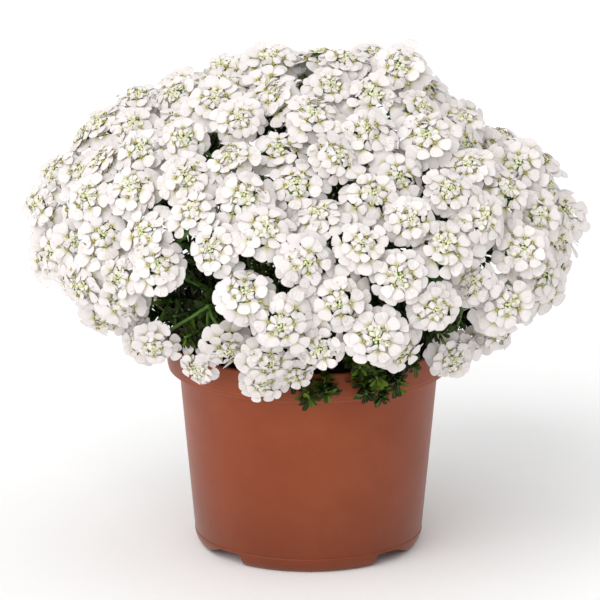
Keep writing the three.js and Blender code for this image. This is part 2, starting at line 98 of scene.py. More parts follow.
def turned(profile, steps):
    """Spins a profile of (radius, height) about the pot's axis into one closed body"""
    bm = bmesh.new()
    corners = [bm.verts.new((radius, 0, height)) for radius, height in profile]
    edges = [bm.edges.new(pair) for pair in zip(corners, corners[1:])]
    bmesh.ops.spin(bm, geom=corners + edges, axis=(0, 0, 1), cent=(0, 0, 0),
                   angle=2 * math.pi, steps=steps, use_merge=True)
    bmesh.ops.remove_doubles(bm, verts=bm.verts, dist=0.001)
    bmesh.ops.recalc_face_normals(bm, faces=bm.faces)
    return bm


def mesh_of(name, bm):
    """Writes a finished bmesh into a mesh, and frees it"""
    mesh = bpy.data.meshes.new(name)
    bm.to_mesh(mesh)
    bm.free()
    return mesh


def placed(name, bm, materials):
    """Turns millimetres about the pot's axis into the frame's metres, and makes the object"""
    bmesh.ops.scale(bm, vec=(MM, MM, MM), verts=bm.verts)
    bmesh.ops.translate(bm, vec=pot_axis, verts=bm.verts)
    mesh = mesh_of(name, bm)
    for material in materials:
        mesh.materials.append(material)
    piece = bpy.data.objects.new(name, mesh)
    bpy.context.scene.collection.objects.link(piece)
    return piece


def shader_of(name, roughness, specular=0.5):
    """A new material: its nodes, its links and its principled shader"""
    material = bpy.data.materials.new(name)
    material.use_nodes = True
    nodes, links = material.node_tree.nodes, material.node_tree.links
    shader = nodes["Principled BSDF"]
    shader.inputs["Roughness"].default_value = roughness
    shader.inputs["Specular IOR Level"].default_value = specular
    return material, nodes, links, shader


def noise_node(nodes, links, place, scale, detail=3, roughness=0.55):
    grain = nodes.new("ShaderNodeTexNoise")
    grain.inputs["Scale"].default_value = scale
    grain.inputs["Detail"].default_value = detail
    grain.inputs["Roughness"].default_value = roughness
    links.new(place, grain.inputs["Vector"])
    return grain.outputs["Fac"]


def ramp_node(nodes, links, value, stops):
    """Runs a value through colours: each stop is a position and a linear colour"""
    ramp = nodes.new("ShaderNodeValToRGB")
    elements = ramp.color_ramp.elements
    while len(elements) < len(stops):
        elements.new(0.5)
    for element, (position, colour) in zip(elements, stops):
        element.position = position
        element.color = colour
    links.new(value, ramp.inputs["Fac"])
    return ramp.outputs["Color"]


def bump_node(nodes, links, shader, height, distance, strength=1):
    bump = nodes.new("ShaderNodeBump")
    bump.inputs["Distance"].default_value = distance
    bump.inputs["Strength"].default_value = strength
    links.new(height, bump.inputs["Height"])
    links.new(bump.outputs["Normal"], shader.inputs["Normal"])


def multiplied(nodes, links, colour, shade):
    """Multiplies a colour by a shade"""
    mix = nodes.new("ShaderNodeMix")
    mix.data_type = "RGBA"
    mix.blend_type = "MULTIPLY"
    mix.inputs["Factor"].default_value = 1
    links.new(colour, mix.inputs["A"])
    links.new(shade, mix.inputs["B"])
    return mix.outputs["Result"]


def mottled(name, stops, scale, roughness, grain_scale, grain_depth, specular=0.5):
    """A material that drifts through its colours in soft blotches, with a fine grain on it"""
    material, nodes, links, shader = shader_of(name, roughness, specular)
    place = nodes.new("ShaderNodeTexCoord").outputs["Object"]
    blotches = noise_node(nodes, links, place, scale)
    links.new(ramp_node(nodes, links, blotches, stops), shader.inputs["Base Color"])
    grain = noise_node(nodes, links, place, grain_scale, detail=2)
    bump_node(nodes, links, shader, grain, grain_depth)
    return material


def notch_cutter(side, turn):
    """The gap between two feet, as a block that goes straight through the skirt"""
    middle = (NOTCH_FROM + NOTCH_TOP_TO) / 2
    near, top, foot = [FOOT_RADIUS * math.sin(angle - middle)
                       for angle in (NOTCH_FROM, NOTCH_TOP_TO, NOTCH_FOOT_TO)]
    outline = [(near, -CUT_BELOW), (foot, -CUT_BELOW), (foot, 0), (top, NOTCH_HEIGHT), (near, NOTCH_HEIGHT)]
    bm = bmesh.new()
    corners = [bm.verts.new((x, NOTCH_DEPTHS[0], z)) for x, z in outline]
    face = bm.faces.new(corners)
    extruded = bmesh.ops.extrude_face_region(bm, geom=[face])["geom"]
    bmesh.ops.translate(bm, vec=(0, NOTCH_DEPTHS[1] - NOTCH_DEPTHS[0], 0),
                        verts=[v for v in extruded if isinstance(v, bmesh.types.BMVert)])
    bmesh.ops.rotate(bm, cent=(0, 0, 0), matrix=Matrix.Rotation(middle, 3, "Z"), verts=bm.verts)
    bmesh.ops.scale(bm, vec=(side, 1, 1), verts=bm.verts)
    bmesh.ops.rotate(bm, cent=(0, 0, 0), matrix=Matrix.Rotation(turn, 3, "Z"), verts=bm.verts)
    bmesh.ops.recalc_face_normals(bm, faces=bm.faces)
    return placed("notch", bm, [])


def drain_cutter(angle):
    """One round drain hole, as a rod that goes straight through the pot's floor"""
    bm = bmesh.new()
    place = (DRAIN_CIRCLE * math.cos(angle), DRAIN_CIRCLE * math.sin(angle), DRAIN_HEIGHT)
    bmesh.ops.create_cone(bm, cap_ends=True, segments=DRAIN_SIDES, radius1=DRAIN_RADIUS,
                          radius2=DRAIN_RADIUS, depth=DRAIN_DEPTH, matrix=Matrix.Translation(place))
    return placed("drain", bm, [])


def cut_out(piece, cutters):
    """Cuts the cutters out of a piece for good, and removes them"""
    for cutter in cutters:
        cut = piece.modifiers.new("cut", "BOOLEAN")
        cut.operation = "DIFFERENCE"
        cut.solver = "EXACT"
        cut.object = cutter
    graph = bpy.context.evaluated_depsgraph_get()
    mesh = bpy.data.meshes.new_from_object(piece.evaluated_get(graph))
    piece.modifiers.clear()
    piece.data = mesh
    for cutter in cutters:
        bpy.data.objects.remove(cutter)


def smoothed(piece, crease_degrees):
    """Shades a piece smoothly, apart from edges that are sharper than the crease"""
    piece.data.shade_smooth()
    piece.data.set_sharp_from_angle(angle=math.radians(crease_degrees))


pot_plastic, nodes, links, shader = shader_of("pot_plastic", roughness=0.5, specular=0.26)
shader.inputs["Sheen Weight"].default_value = 0.18
shader.inputs["Sheen Roughness"].default_value = 0.4
place = nodes.new("ShaderNodeTexCoord").outputs["Object"]
blotches = noise_node(nodes, links, place, scale=14, detail=5, roughness=0.6)
clay = ramp_node(nodes, links, blotches, [(0.3, srgb(134, 60, 29)), (0.5, srgb(142, 66, 34)),
                                          (0.7, srgb(150, 73, 41))])
# Painted shade: the plastic's colour is darkened towards the bottom of the pot, as if less light reached its
# foot.
height = nodes.new("ShaderNodeSeparateXYZ")
links.new(place, height.inputs["Vector"])
painted_base_shade = ramp_node(nodes, links, height.outputs["Z"],
                  [(0, (0.64, 0.64, 0.64, 1)), (0.13, (1, 1, 1, 1))])
links.new(multiplied(nodes, links, clay, painted_base_shade), shader.inputs["Base Color"])
pits = noise_node(nodes, links, place, scale=900, detail=2)
bump_node(nodes, links, shader, pits, distance=0.00012, strength=0.6)
dull = nodes.new("ShaderNodeMapRange")
dull.inputs["To Min"].default_value = 0.42
dull.inputs["To Max"].default_value = 0.6
links.new(noise_node(nodes, links, place, scale=60), dull.inputs["Value"])
links.new(dull.outputs["Result"], shader.inputs["Roughness"])

pot = placed("pot_moulded", turned(POT_PROFILE, POT_STEPS), [pot_plastic])
cut_out(pot, [notch_cutter(side, turn) for side in (1, -1) for turn in (0, math.pi)]
        + [drain_cutter((k + 0.5) * 2 * math.pi / DRAINS) for k in range(DRAINS)])
smoothed(pot, POT_CREASE)
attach(pot, "root")
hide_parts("pot")


# The potting soil is dark peat with crumbs of bark, pressed into the pot by hand, a little hollow in
# the middle where it was watered. The pot's wall holds it.
SOIL_PROFILE = [
    (0, 9.7), (73.4, 9.7), (83.4, 121.8), (80.5, 123.4), (76, 124.4), (70, 125.1), (64, 125.6),
    (55, 126), (46, 125.8), (38, 125.3), (30, 124.8), (22, 124.3), (14, 123.9), (7, 123.6), (0, 123.5),
]
SOIL_STEPS = 96
SOIL_ROUGHNESS, SOIL_LUMPS, SOIL_FACE_ABOVE = 1.1, 0.22, 122.5
SOIL_CREASE = 50
CRUMBS, CRUMBS_REACH = 420, 82
CRUMB_SIZES, CRUMB_STRETCH, CRUMB_FLATNESS = (0.7, 2.1), (1, 1.7), 0.7


def soil_height(radius):
    """The height of the soil's smooth surface at a distance from the middle"""
    surface = SOIL_PROFILE[:1:-1]
    for (r0, z0), (r1, z1) in zip(surface, surface[1:]):
        if radius <= r1:
            return z0 + (z1 - z0) * (radius - r0) / (r1 - r0)
    return surface[-1][1]


peat = mottled("peat", [(0.3, srgb(28, 19, 13)), (0.55, srgb(52, 36, 25)), (0.75, srgb(84, 62, 44))],
               scale=160, roughness=0.95, grain_scale=700, grain_depth=0.0006, specular=0.2)
soil_bm = turned(SOIL_PROFILE, SOIL_STEPS)
for vert in soil_bm.verts:
    if vert.co.z > SOIL_FACE_ABOVE:
        vert.co.z += SOIL_ROUGHNESS * noise.noise(vert.co * SOIL_LUMPS)
crumb_draw = random.Random(5)
for _ in range(CRUMBS):
    radius = CRUMBS_REACH * math.sqrt(crumb_draw.random())
    angle = crumb_draw.uniform(0, 2 * math.pi)
    size = crumb_draw.uniform(*CRUMB_SIZES)
    spot = Vector((radius * math.cos(angle), radius * math.sin(angle), soil_height(radius)))
    crumb = Matrix.Translation(spot) @ Matrix.Rotation(crumb_draw.uniform(0, math.pi), 4, "Z")
    stretched = size * crumb_draw.uniform(*CRUMB_STRETCH)
    crumb = crumb @ Matrix.Diagonal((stretched, size, size * CRUMB_FLATNESS, 1))
    bmesh.ops.create_icosphere(soil_bm, subdivisions=1, radius=1, matrix=crumb)
soil = placed("soil_surface", soil_bm, [peat])
smoothed(soil, SOIL_CREASE)
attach(soil, "root")
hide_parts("soil")


# The woody crown is the old wood of the plant: a short trunk in the soil that splits into eight
# grey-brown arms. It grew as one piece, and the leafy stems grow from the knobs at its ends.
TRUNK = [(90, 5.4), (110, 6.8), (122, 8), (128, 7), (130, 4)]
TRUNK_SIDES, ARM_SIDES = 12, 9
ARM_RADIUS, ARM_FOOT, ARM_TAPER, ARM_STEPS = 3.4, 1.25, 0.06, 8
ARM_START, ARM_MIDDLE = (1, 127), (24, 132.6)
ARM_CROOK, CROOK_SCALE = 1.1, 0.06
BARK_RELIEF, BARK_SCALE, BARK_CREASE, BARK_SEED = 0.5, 0.35, 60, 1
HUB_DISTANCE, HUB_HEIGHT, HUB_RADIUS = 40, 141, 4
BRANCHES = 8
FIRST_BRANCH = math.radians(-81.5)


def polar(radius, angle, height):
    return Vector((radius * math.cos(angle), radius * math.sin(angle), height))


def branch_angle(branch):
    return FIRST_BRANCH + branch * 2 * math.pi / BRANCHES


def hub(branch):
    return polar(HUB_DISTANCE, branch_angle(branch), HUB_HEIGHT)


def curve_through(start, middle, end, count):
    """Points along the smooth arc that starts, passes and ends at the three given ones"""
    pull = 2 * middle - (start + end) / 2
    steps = [k / count for k in range(count + 1)]
    return [start * (1 - t) ** 2 + 2 * pull * t * (1 - t) + end * t * t for t in steps]


def tube(bm, points, radii, sides, material=0):
    """Draws a round stem out along its points, ring by ring, with closed ends"""
    def ring_at(k):
        way = (points[min(k + 1, len(points) - 1)] - points[max(k - 1, 0)]).normalized()
        turn = Vector((0, 0, 1)).rotation_difference(way)
        return Matrix.Translation(points[k]) @ turn.to_matrix().to_4x4()
    made = bmesh.ops.create_circle(bm, cap_ends=True, segments=sides, radius=1)["verts"]
    end = made[0].link_faces[0]
    grown = [end]
    unit = [vert.co.copy() for vert in end.verts]
    for vert, spot in zip(end.verts, unit):
        vert.co = ring_at(0) @ (spot * radii[0])
    for k in range(1, len(points)):
        geometry = bmesh.ops.extrude_face_region(bm, geom=[end])["geom"]
        end = next(item for item in geometry if isinstance(item, bmesh.types.BMFace))
        frame_here = ring_at(k)
        for vert, spot in zip(end.verts, unit):
            vert.co = frame_here @ (spot * radii[k])
        grown += [end] + [face for edge in end.edges for face in edge.link_faces if face != end]
    grown = [face for face in set(grown) if face.is_valid]
    bmesh.ops.recalc_face_normals(bm, faces=grown)
    for face in grown:
        face.material_index = material
        face.smooth = True


bark = mottled("bark", [(0.3, srgb(74, 56, 38)), (0.5, srgb(112, 90, 64)), (0.72, srgb(146, 128, 100))],
               scale=240, roughness=0.85, grain_scale=900, grain_depth=0.0005, specular=0.25)
noise.seed_set(BARK_SEED)
crown_bm = bmesh.new()
tube(crown_bm, [Vector((0, 0, height)) for height, _ in TRUNK], [radius for _, radius in TRUNK], TRUNK_SIDES)
for branch in range(BRANCHES):
    angle = branch_angle(branch)
    start, middle = [polar(reach, angle, height) for reach, height in (ARM_START, ARM_MIDDLE)]
    arm = curve_through(start, middle, hub(branch), ARM_STEPS)
    arm = [spot + ARM_CROOK * noise.noise_vector(spot * CROOK_SCALE) for spot in arm[:-1]] + [arm[-1]]
    tube(crown_bm, arm, [ARM_RADIUS * (ARM_FOOT - ARM_TAPER * k) for k in range(ARM_STEPS + 1)], ARM_SIDES)
    bmesh.ops.create_icosphere(crown_bm, subdivisions=2, radius=HUB_RADIUS,
                               matrix=Matrix.Translation(hub(branch)))
for vert in crown_bm.verts:
    vert.co += BARK_RELIEF * noise.noise_vector(vert.co * BARK_SCALE)
crown = placed("woody_arms", crown_bm, [bark])
smoothed(crown, BARK_CREASE)
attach(crown, "root")
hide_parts("woody_crown")


# Leafy stems: soft green stems that rise from each arm to the flower sprays, close-set with narrow,
# blunt evergreen leaves, and short shoots without flowers whose leaves sit in rosettes.
GOLDEN_ANGLE = math.pi * (3 - math.sqrt(5))
DOME_TOP, DOME_WAIST, DOME_RADIUS, SHOULDER_SLOPE = 325, 205, 174, 1.1
SKIRT_BEND, SKIRT_END = (164, 172), (110, 141)
DOME_STEPS = 240
SWELLS = [
    ((46, 0, 322), 45, 20), ((-18, 10, 328), 26, 6), ((-62, 5, 318), 26, -7), ((-134, 0, 284), 36, 16),
    ((-172, -10, 210), 36, 16), ((172, 0, 200), 48, -6), ((20, -165, 190), 45, 3),
    ((102, 5, 300), 40, -18), ((148, 0, 265), 34, 4), ((125, 60, 265), 45, -10),
    ((-60, 120, 270), 45, 6), ((90, 140, 200), 45, 5), ((-158, -20, 168), 44, -20),
    ((155, -30, 155), 42, -9),
]
WINDOWS = [
    ((-80, -146, 178), 36), ((42, -116, 150), 36), ((100, -122, 166), 29),
    ((-95, 120, 165), 26), ((135, 75, 165), 25),
]
SPRAYS, HEADS = 48, 214
HEADS_TURN, SPACING_PLAY, SCATTER, RIPPLE = 0.71, 0.6, 4, 3
RECESS, LEAST_RECESS, RECESSED_SHARE, FORK_DEPTH = 11, 0.6, 0.32, 34
UPTURN, FORETURN = 0.42, 0.75
HEAD_RADIUS, SMALL_HEAD, SMALL_BELOW = 22, 0.86, 165
LEAST_SIZE, SIZE_RANGE = 0.84, 0.22
SHOOTS = [
    (-90, 105, 129), (-64, 107, 127), (-74, 118, 152), (-127, 132, 170), (-48, 128, 169),
    (-5, 108, 152), (26, 128, 166), (82, 106, 146), (140, 122, 164), (174, 108, 152),
]
SIDE_SHOOTS = [(7, -5, 5), (-8, -9, 9), (3, -16, -4), (-3, -22, 12)]
RIM_TUFTS = [
    (-95, 104, 140), (-84, 106, 133), (-70, 108, 131), (-67, 112, 142), (-58, 108, 137), (-51, 109, 146),
]
SHOOT_RINGS = [
    {"count": 20, "reach": (45, 100), "height": (165, 225), "channel": 24, "seed": 600, "bright": 0.1},
    {"count": 18, "reach": (30, 105), "height": (215, 265), "channel": 27, "seed": 700, "bright": 0.1},
    {"count": 36, "reach": (76, 88), "height": (148, 160), "channel": 20, "seed": 400, "bright": 0.2},
]
STEM_BOW, STEM_STEPS, STEM_SIDES = 0.12, 10, 6
STEM_RADIUS, STEM_TAPER = 1.9, 0.07
SHOOT_RADIUS, SHOOT_TAPER = 1.8, 0.09
SHOOT_BEND, SHOOT_SPAN, SHOOT_BOW = 0.55, 110, 0.08
LEAF_LENGTH, LEAF_WIDTH, LEAF_THICKNESS = 15, 4.8, 0.7
LEAF_BENDS = [(2.5, 0.9), (-1.5, 0.7), (5, 1.1), (0.5, 0.8)]
LEAF_SIZES, LEAF_LEANS = (0.72, 1.15), (0.8, 1.25)
LEAN_FOOT, LEAN_FALL = 1.15, 0.5
SIZE_FOOT, SIZE_FALL = 1.1, 0.35
SHORTENINGS = (1, 0.7)
STEM_LEAVES, STEM_SPREAD, STEM_FIRST, STEM_BRIGHT, STEM_BARE = 38, 0.95, 0.12, 0.14, 17
FORK_LEAVES, FORK_SPREAD, FORK_FIRST, FORK_BRIGHT, FORK_BARE, FORK_STEPS = 14, 1.5, 0.3, 0.1, 7, 4
TUFT_LENGTH, TUFT_SPREAD, TUFT_FIRST, TUFT_BARE, TUFT_CROWDING = 12, 1.7, 0.42, 6, 0.55
SHOOT_LEAVES, SIDE_LEAVES = 60, 38
SHOOT_BRIGHT, SIDE_BRIGHT, RIM_BRIGHT = 0.3, 0.2, 0.22
HEAD_REACH_SQUARED, HEAD_TOP = 1200, 12
WALL_TOP, WALL_INSIDE, WALL_OUTSIDE = 146, 80, 98
LEAF_DARK, LEAF_BRIGHT, STEM = range(3)
LEAF_MIDDLE, BLADE_SIDES, CUP_POWER = 0.6, 4, 1.6
LEAF_PROFILE = [(0, 0), (0.2, 0.3), (0.45, 0.66), (0.7, 1), (0.91, 0.74), (1, 0)]


def draw(index, channel):
    """A repeatable draw between 0 and 1 for the item and the purpose"""
    wave = math.sin(index * 12.9898 + channel * 78.233) * 43758.5453
    return wave - math.floor(wave)


def dome_outline(t):
    """Radius and height of the dome's outline: t is 0 at the top, 1 at the waist, 2 at the foot"""
    if t <= 1:
        angle = t * math.pi / 2
        radius = DOME_RADIUS * math.sin(angle) ** SHOULDER_SLOPE
        return radius, DOME_WAIST + (DOME_TOP - DOME_WAIST) * math.cos(angle)
    s = t - 1
    waist = (DOME_RADIUS, DOME_WAIST)
    return tuple(a * (1 - s) ** 2 + 2 * b * s * (1 - s) + c * s ** 2
                 for a, b, c in zip(waist, SKIRT_BEND, SKIRT_END))


dome_areas = [0]
for k in range(DOME_STEPS):
    (r0, z0), (r1, z1) = dome_outline(2 * k / DOME_STEPS), dome_outline(2 * (k + 1) / DOME_STEPS)
    dome_areas.append(dome_areas[-1] + math.pi * (r0 + r1) * math.hypot(r1 - r0, z1 - z0))


def on_dome(share, angle):
    """A point on the dome below the given share of its area, and the way that it faces"""
    wanted = min(max(share, 0), 1) * dome_areas[-1]
    k = next(k for k in range(1, DOME_STEPS + 1) if dome_areas[k] >= wanted or k == DOME_STEPS)
    t = 2 * (k - 1 + (wanted - dome_areas[k - 1]) / (dome_areas[k] - dome_areas[k - 1])) / DOME_STEPS
    radius, height = dome_outline(t)
    (r0, z0), (r1, z1) = dome_outline(max(t - 0.01, 0)), dome_outline(min(t + 0.01, 2))
    outward = polar(z0 - z1, angle, r1 - r0).normalized()
    spot = polar(radius, angle, height)
    lift = sum(rise * math.exp(-((spot - Vector(at)).length / reach) ** 2) for at, reach, rise in SWELLS)
    return spot + lift * outward, outward


def cross_axes(axis, twist=0):
    """Two directions square to an axis, turned about it"""
    helper = Vector((0, 0, 1)) if abs(axis.z) < 0.95 else Vector((1, 0, 0))
    side = helper.cross(axis).normalized()
    u = side * math.cos(twist) + axis.cross(side) * math.sin(twist)
    return u, axis.cross(u)


def flower_heads():
    """Where each flower head sits, which way it faces, its radius and its twist"""
    heads = []
    for k in range(HEADS):
        share = (k + 0.5 + (draw(k, 1) - 0.5) * SPACING_PLAY) / HEADS
        spot, outward = on_dome(share, k * GOLDEN_ANGLE + HEADS_TURN)
        u, v = cross_axes(outward)
        angle = draw(k, 3) * 2 * math.pi
        spot = spot + SCATTER * draw(k, 2) * (u * math.cos(angle) + v * math.sin(angle))
        recessed = draw(k, 4) < RECESSED_SHARE
        sunk = -RECESS * (LEAST_RECESS + (1 - LEAST_RECESS) * draw(k, 5))
        spot = spot + outward * (sunk if recessed else RIPPLE * (draw(k, 5) - 0.5))
        facing = (outward + UPTURN * Vector((0, 0, 1)) - FORETURN * Vector((0, 1, 0))).normalized()
        size = SMALL_HEAD if spot.z < SMALL_BELOW else 1
        radius = HEAD_RADIUS * size * (LEAST_SIZE + SIZE_RANGE * draw(k, 6))
        if all((spot - Vector(at)).length >= reach for at, reach in WINDOWS):
            heads.append((spot, facing, radius, draw(k, 7) * 2 * math.pi))
    return heads


heads = flower_heads()
spray_places = [on_dome((k + 0.5) / SPRAYS, k * GOLDEN_ANGLE) for k in range(SPRAYS)]
forks = [spot - FORK_DEPTH * outward for spot, outward in spray_places]


def branch_of(point):
    wedge = 2 * math.pi / BRANCHES
    turn = math.atan2(point.y, point.x) - FIRST_BRANCH + wedge / 2
    return int(turn % (2 * math.pi) // wedge)


def blade(profile, length, width, thickness, bend, cup):
    """A thin closed blade from the origin along +Y, facing +Z: a ball drawn out to the profile.
    It bends down by `bend` at the tip, and its edges rise by `cup`. Its UV runs across and along."""
    bm = bmesh.new()
    rows = len(profile) - 1
    bmesh.ops.create_uvsphere(bm, u_segments=BLADE_SIDES, v_segments=rows, radius=1)
    spots = {}
    for vert in bm.verts:
        row = rows - round(math.acos(max(-1, min(1, vert.co.z))) * rows / math.pi)
        girth = math.hypot(vert.co.x, vert.co.y)
        across, through = (vert.co.y / girth, vert.co.x / girth) if girth > 1e-6 else (0, 0)
        t, w = profile[row]
        spots[vert] = (across, t)
        rise = through * thickness / 2 - bend * t * t + cup * abs(across * w) ** CUP_POWER
        vert.co = (across * w * width / 2, t * length, rise)
    layer = bm.loops.layers.uv.new("blade")
    for face in bm.faces:
        face.smooth = True
        for loop in face.loops:
            across, t = spots[loop.vert]
            loop[layer].uv = ((across + 1) / 2, t)
    for edge in bm.edges:
        if all(abs(abs(spots[vert][0]) - 1) < 0.01 or vert.co.y in (0, length) for vert in edge.verts):
            edge.smooth = False
    bmesh.ops.recalc_face_normals(bm, faces=bm.faces)
    return mesh_of("blade", bm)


def add_copy(bm, mesh, matrix, material=None):
    """Adds one transformed copy of a small mesh to a piece"""
    copy = mesh.copy()
    copy.transform(matrix)
    if material is not None:
        copy.polygons.foreach_set("material_index", [material] * len(copy.polygons))
    bm.from_mesh(copy)
    bpy.data.meshes.remove(copy)


def facing_frame(root, along, up):
    """The matrix that puts a blade at a root, along a direction, with its face towards `up`"""
    along = along.normalized()
    across = along.cross(up).normalized()
    normal = across.cross(along)
    matrix = Matrix((across, along, normal)).transposed().to_4x4()
    matrix.translation = root
    return matrix


def under_flower(point, bare):
    """True if a point lies in a flower head, or in the bare space that its stalks leave under it"""
    for spot, facing, radius, _ in heads:
        arm = point - spot
        if arm.length_squared > HEAD_REACH_SQUARED:
            continue
        rise = arm.dot(facing)
        if -bare < rise < HEAD_TOP and (arm - rise * facing).length < radius:
            return True
    return False


def in_pot_wall(point):
    return point.z < WALL_TOP and WALL_INSIDE < math.hypot(point.x, point.y) < WALL_OUTSIDE


def set_leaves(bm, points, count, first, seed, length, spread, bright, bare, crowding=1):
    """Sets leaves in a spiral along a stem, and leaves out those that would pierce a flower"""
    chooser = random.Random(seed)
    for k in range(count):
        t = first + (1 - first) * ((k + 0.5) / count) ** crowding
        step = min(int(t * (len(points) - 1)), len(points) - 2)
        part = t * (len(points) - 1) - step
        root = points[step].lerp(points[step + 1], part)
        stem_way = (points[step + 1] - points[step]).normalized()
        side, _ = cross_axes(stem_way, k * GOLDEN_ANGLE + seed)
        lean = spread * (LEAN_FOOT - LEAN_FALL * t) * chooser.uniform(*LEAF_LEANS)
        along = (stem_way + lean * side).normalized()
        size = chooser.uniform(*LEAF_SIZES) * (SIZE_FOOT - SIZE_FALL * t)
        kind = chooser.randrange(len(leaf_meshes))
        shade = LEAF_BRIGHT if chooser.random() < bright * t else LEAF_DARK
        for shrink in SHORTENINGS:
            tip = root + along * length * size * shrink
            middle = root.lerp(tip, LEAF_MIDDLE)
            if any(under_flower(spot, bare) or in_pot_wall(spot) for spot in (tip, middle)):
                continue
            scale = Matrix.Diagonal((size * shrink, size * shrink * length / LEAF_LENGTH, size * shrink, 1))
            add_copy(bm, leaf_meshes[kind], facing_frame(root, along, stem_way) @ scale, shade)
            break


def grow_shoot(bm, branch, tip, leaves, seed, bright):
    """A short shoot without flowers, over the rim if it reaches so far, with a tuft of leaves"""
    angle = math.atan2(tip.y, tip.x)
    reach = math.hypot(tip.x, tip.y)
    middle_reach = 0.5 * HUB_DISTANCE + SHOOT_BEND * min(reach, SHOOT_SPAN)
    middle = polar(middle_reach, angle, 0.5 * (tip.z + HUB_HEIGHT) + SHOOT_BOW * reach)
    path = curve_through(hub(branch), middle, tip, STEM_STEPS)
    set_leaves(bm, path, leaves, TUFT_FIRST, seed, TUFT_LENGTH, TUFT_SPREAD, bright, TUFT_BARE, TUFT_CROWDING)
    tube(bm, path, [SHOOT_RADIUS - SHOOT_TAPER * step for step in range(STEM_STEPS + 1)], STEM_SIDES, STEM)


def leaf_material(name, dark, middle, light):
    """An evergreen leaf with a low gloss, blotched in three greens, with a paler raised midrib"""
    material, nodes, links, shader = shader_of(name, roughness=0.5, specular=0.14)
    coordinates = nodes.new("ShaderNodeTexCoord")
    blotches = noise_node(nodes, links, coordinates.outputs["Object"], scale=90)
    green = ramp_node(nodes, links, blotches, [(0.3, dark), (0.52, middle), (0.74, light)])
    split = nodes.new("ShaderNodeSeparateXYZ")
    links.new(coordinates.outputs["UV"], split.inputs["Vector"])
    rib = ramp_node(nodes, links, split.outputs["X"],
                    [(0.4, (0, 0, 0, 1)), (0.5, (1, 1, 1, 1)), (0.6, (0, 0, 0, 1))])
    mix = nodes.new("ShaderNodeMix")
    mix.data_type = "RGBA"
    links.new(green, mix.inputs["A"])
    mix.inputs["B"].default_value = light
    links.new(rib, mix.inputs["Factor"])
    links.new(mix.outputs["Result"], shader.inputs["Base Color"])
    bump_node(nodes, links, shader, rib, distance=0.0002, strength=0.7)
    return material


leaf_dark = leaf_material("leaf_dark", srgb(18, 28, 3), srgb(32, 46, 6), srgb(62, 80, 15))
leaf_bright = leaf_material("leaf_bright", srgb(44, 62, 6), srgb(66, 88, 11), srgb(98, 120, 28))
stem_green = mottled(
    "stem_green", [(0.3, srgb(66, 104, 34)), (0.55, srgb(92, 132, 48)), (0.75, srgb(124, 156, 74))],
    scale=120, roughness=0.5, grain_scale=800, grain_depth=0.0002, specular=0.4)
leaf_meshes = [blade(LEAF_PROFILE, LEAF_LENGTH, LEAF_WIDTH, LEAF_THICKNESS, bend, cup)
               for bend, cup in LEAF_BENDS]

for branch in range(BRANCHES):
    stems_bm = bmesh.new()
    for k, fork in enumerate(forks):
        if branch_of(fork) != branch:
            continue
        start = hub(branch)
        middle = start.lerp(fork, 0.5) + Vector((0, 0, STEM_BOW * (fork - start).length))
        path = curve_through(start, middle, fork, STEM_STEPS)
        set_leaves(stems_bm, path, STEM_LEAVES, STEM_FIRST, k + 1, LEAF_LENGTH,
                   STEM_SPREAD, STEM_BRIGHT, STEM_BARE)
        set_leaves(stems_bm, path[-FORK_STEPS:], FORK_LEAVES, FORK_FIRST, 60 + k, LEAF_LENGTH,
                   FORK_SPREAD, FORK_BRIGHT, FORK_BARE)
        radii = [STEM_RADIUS - STEM_TAPER * step for step in range(STEM_STEPS + 1)]
        tube(stems_bm, path, radii, STEM_SIDES, STEM)
    for k, (angle, radius, height) in enumerate(SHOOTS):
        end = polar(radius, math.radians(angle), height)
        if branch_of(end) != branch:
            continue
        grow_shoot(stems_bm, branch, end, SHOOT_LEAVES, 100 + k, SHOOT_BRIGHT)
        for turn, inward, up in SIDE_SHOOTS:
            tip = polar(radius + inward, math.radians(angle + turn), height + up)
            grow_shoot(stems_bm, branch, tip, SIDE_LEAVES, 200 + 10 * k + inward, SIDE_BRIGHT)
    for k, (angle, radius, height) in enumerate(RIM_TUFTS):
        tip = polar(radius, math.radians(angle), height)
        if branch_of(tip) == branch:
            grow_shoot(stems_bm, branch, tip, SHOOT_LEAVES, 500 + k, RIM_BRIGHT)
    for ring in SHOOT_RINGS:
        (near, far), (low, high) = ring["reach"], ring["height"]
        for k in range(ring["count"]):
            angle = 2 * math.pi * (k + draw(k, ring["channel"] + 1)) / ring["count"]
            height = low + (high - low) * draw(k, ring["channel"] + 2)
            tip = polar(near + (far - near) * draw(k, ring["channel"]), angle, height)
            if branch_of(tip) == branch:
                grow_shoot(stems_bm, branch, tip, SIDE_LEAVES, ring["seed"] + k, ring["bright"])
    stems = placed(f"leafy_growth_{branch + 1:02d}", stems_bm, [leaf_dark, leaf_bright, stem_green])
    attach(stems, "root")
    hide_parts(f"leafy_stems_{branch + 1:02d}")


# Flower sprays: each stem forks into a few stalks, and each stalk carries a flat-topped head of
# white florets on thin pedicels. A floret has two large petals outside and two small ones inside,
# round a green ovary and yellow anthers; the middle of the head is still in pale green bud.
PETAL_PROFILE = [
    (0, 0), (0.14, 0.3), (0.36, 0.68), (0.58, 0.95), (0.78, 1), (0.92, 0.76), (0.985, 0.4), (1, 0),
]
SMALL_PROFILE = [(0, 0), (0.3, 0.5), (0.65, 1), (0.93, 0.7), (1, 0)]
PETAL_THICKNESS, SMALL_THICKNESS = 0.34, 0.4
GROWN_LENGTH, SMALL_SHARE, YOUNG_SMALL_SHARE, SMALL_BREADTH = 5, 0.6, 0.78, 1.15
SMALL_SPREAD, PETAL_LIFT, SMALL_LIFT, CLAW = 0.72, 0.08, 0.26, 0.35
LENGTHS, WIDTHS, BENDS, CUPS = (0.9, 1.08), (0.9, 1.1), (-0.02, 0.24), (-0.04, 0.05)
LIFTS, SWAY, ROLL = (-0.2, 0.22), 0.12, 0.34
